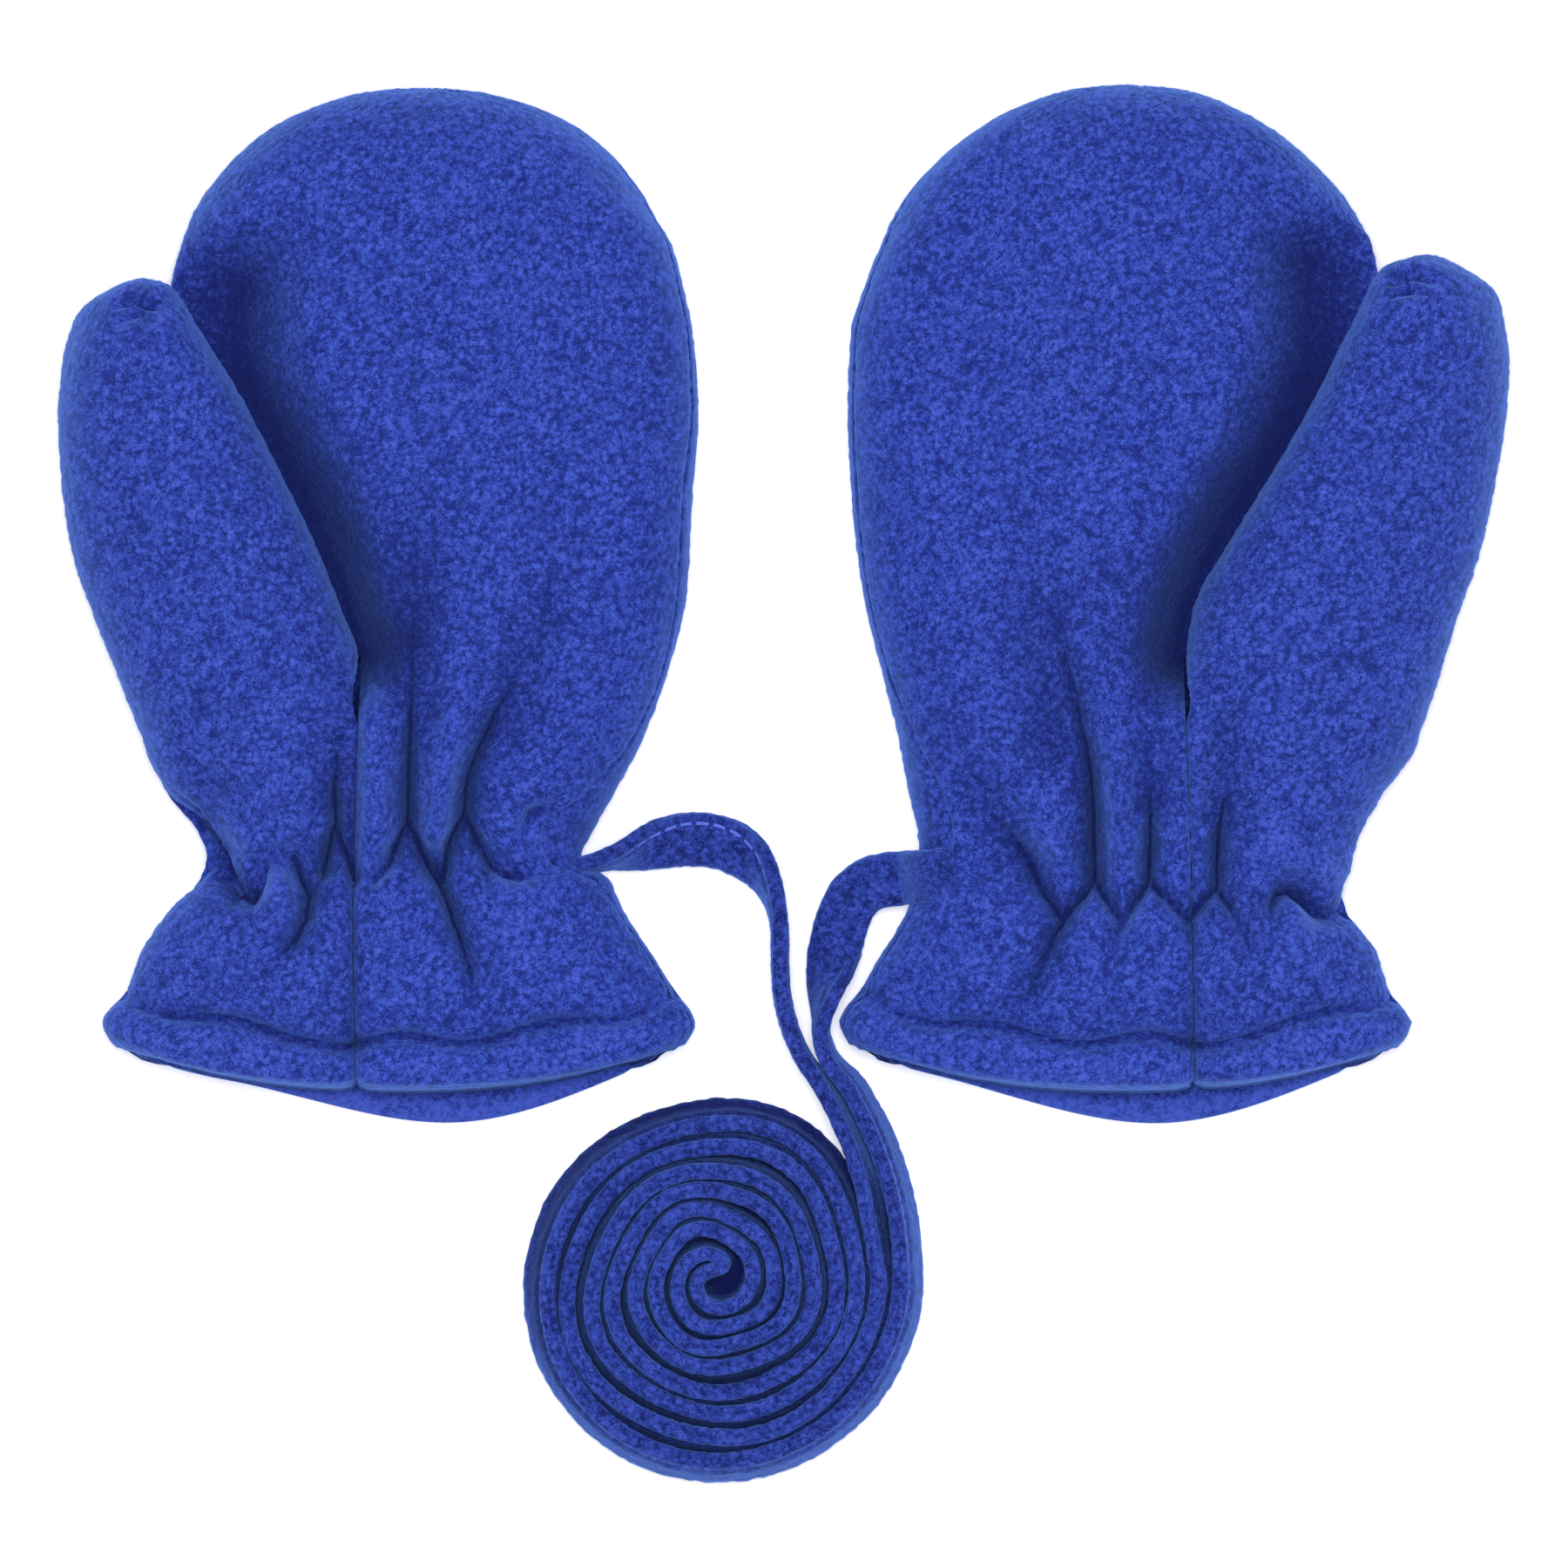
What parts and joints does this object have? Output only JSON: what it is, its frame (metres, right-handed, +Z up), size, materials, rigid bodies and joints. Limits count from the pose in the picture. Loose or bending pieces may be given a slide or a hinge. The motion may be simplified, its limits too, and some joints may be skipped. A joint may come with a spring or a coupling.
{
  "type": "pair of fleece mittens on a string",
  "caption": "Small child's plain fleece mittens with gathered wrists and wide cuffs, lying palms up, joined by a long fleece string that is wound into a flat coil.",
  "frame": {"origin": "on the surface that the mittens lie on, under the middle of the box round the two mittens without their string", "axes": "+X from the left mitten of the picture to the right one, +Y from the cuffs to the fingertips, +Z up out of the palms"},
  "size_m": [0.2413, 0.2323, 0.0212],
  "materials": {
    "palm_fleece": "dyed blue polyester fleece with a pilled nap",
    "back_fleece": "dyed blue polyester fleece with a pilled nap",
    "thumb_fleece": "dyed blue polyester fleece with a pilled nap",
    "string_fleece": "the same fleece, folded and stitched into a flat strip"
  },
  "bodies": {
    "root": {"left_back": "back_fleece", "left_palm": "palm_fleece", "left_thumb_under": "back_fleece", "left_thumb_front": "thumb_fleece", "right_back": "back_fleece", "right_palm": "palm_fleece", "right_thumb_under": "back_fleece", "right_thumb_front": "thumb_fleece", "string_left": "string_fleece", "string_coil": "string_fleece", "string_right": "string_fleece"}
  },
  "joints": []
}
